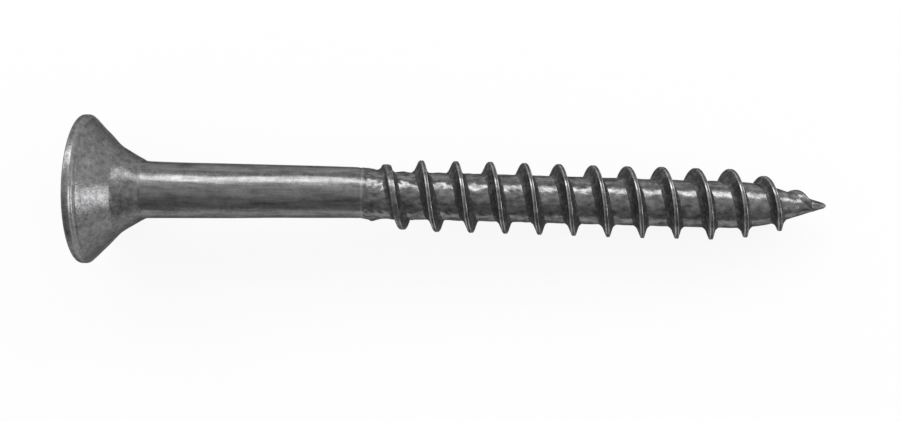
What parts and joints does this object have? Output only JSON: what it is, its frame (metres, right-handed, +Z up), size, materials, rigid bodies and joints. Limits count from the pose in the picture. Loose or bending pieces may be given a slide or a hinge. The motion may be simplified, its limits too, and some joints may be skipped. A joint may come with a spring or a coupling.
{
  "type": "wood screw",
  "caption": "Countersunk wood screw with a cross recess, a plain shank, a coarse right-hand thread and a tapered point.",
  "frame": {"origin": "centre of the head's flat face", "axes": "+X along the screw's axis from the head to the point, +Z up; the screw lies along X"},
  "size_m": [0.05, 0.01, 0.01],
  "materials": {
    "headed_steel": "cold-headed carbon steel, satin, slightly grainy",
    "drawn_steel": "drawn wire, smooth and semi-bright",
    "rolled_steel": "thread-rolled and polished, semi-bright with rolling marks"
  },
  "bodies": {
    "root": {"head": "headed_steel", "neck": "headed_steel", "shank": "drawn_steel", "thread_core": "rolled_steel", "thread": "rolled_steel", "point": "rolled_steel"}
  },
  "joints": []
}
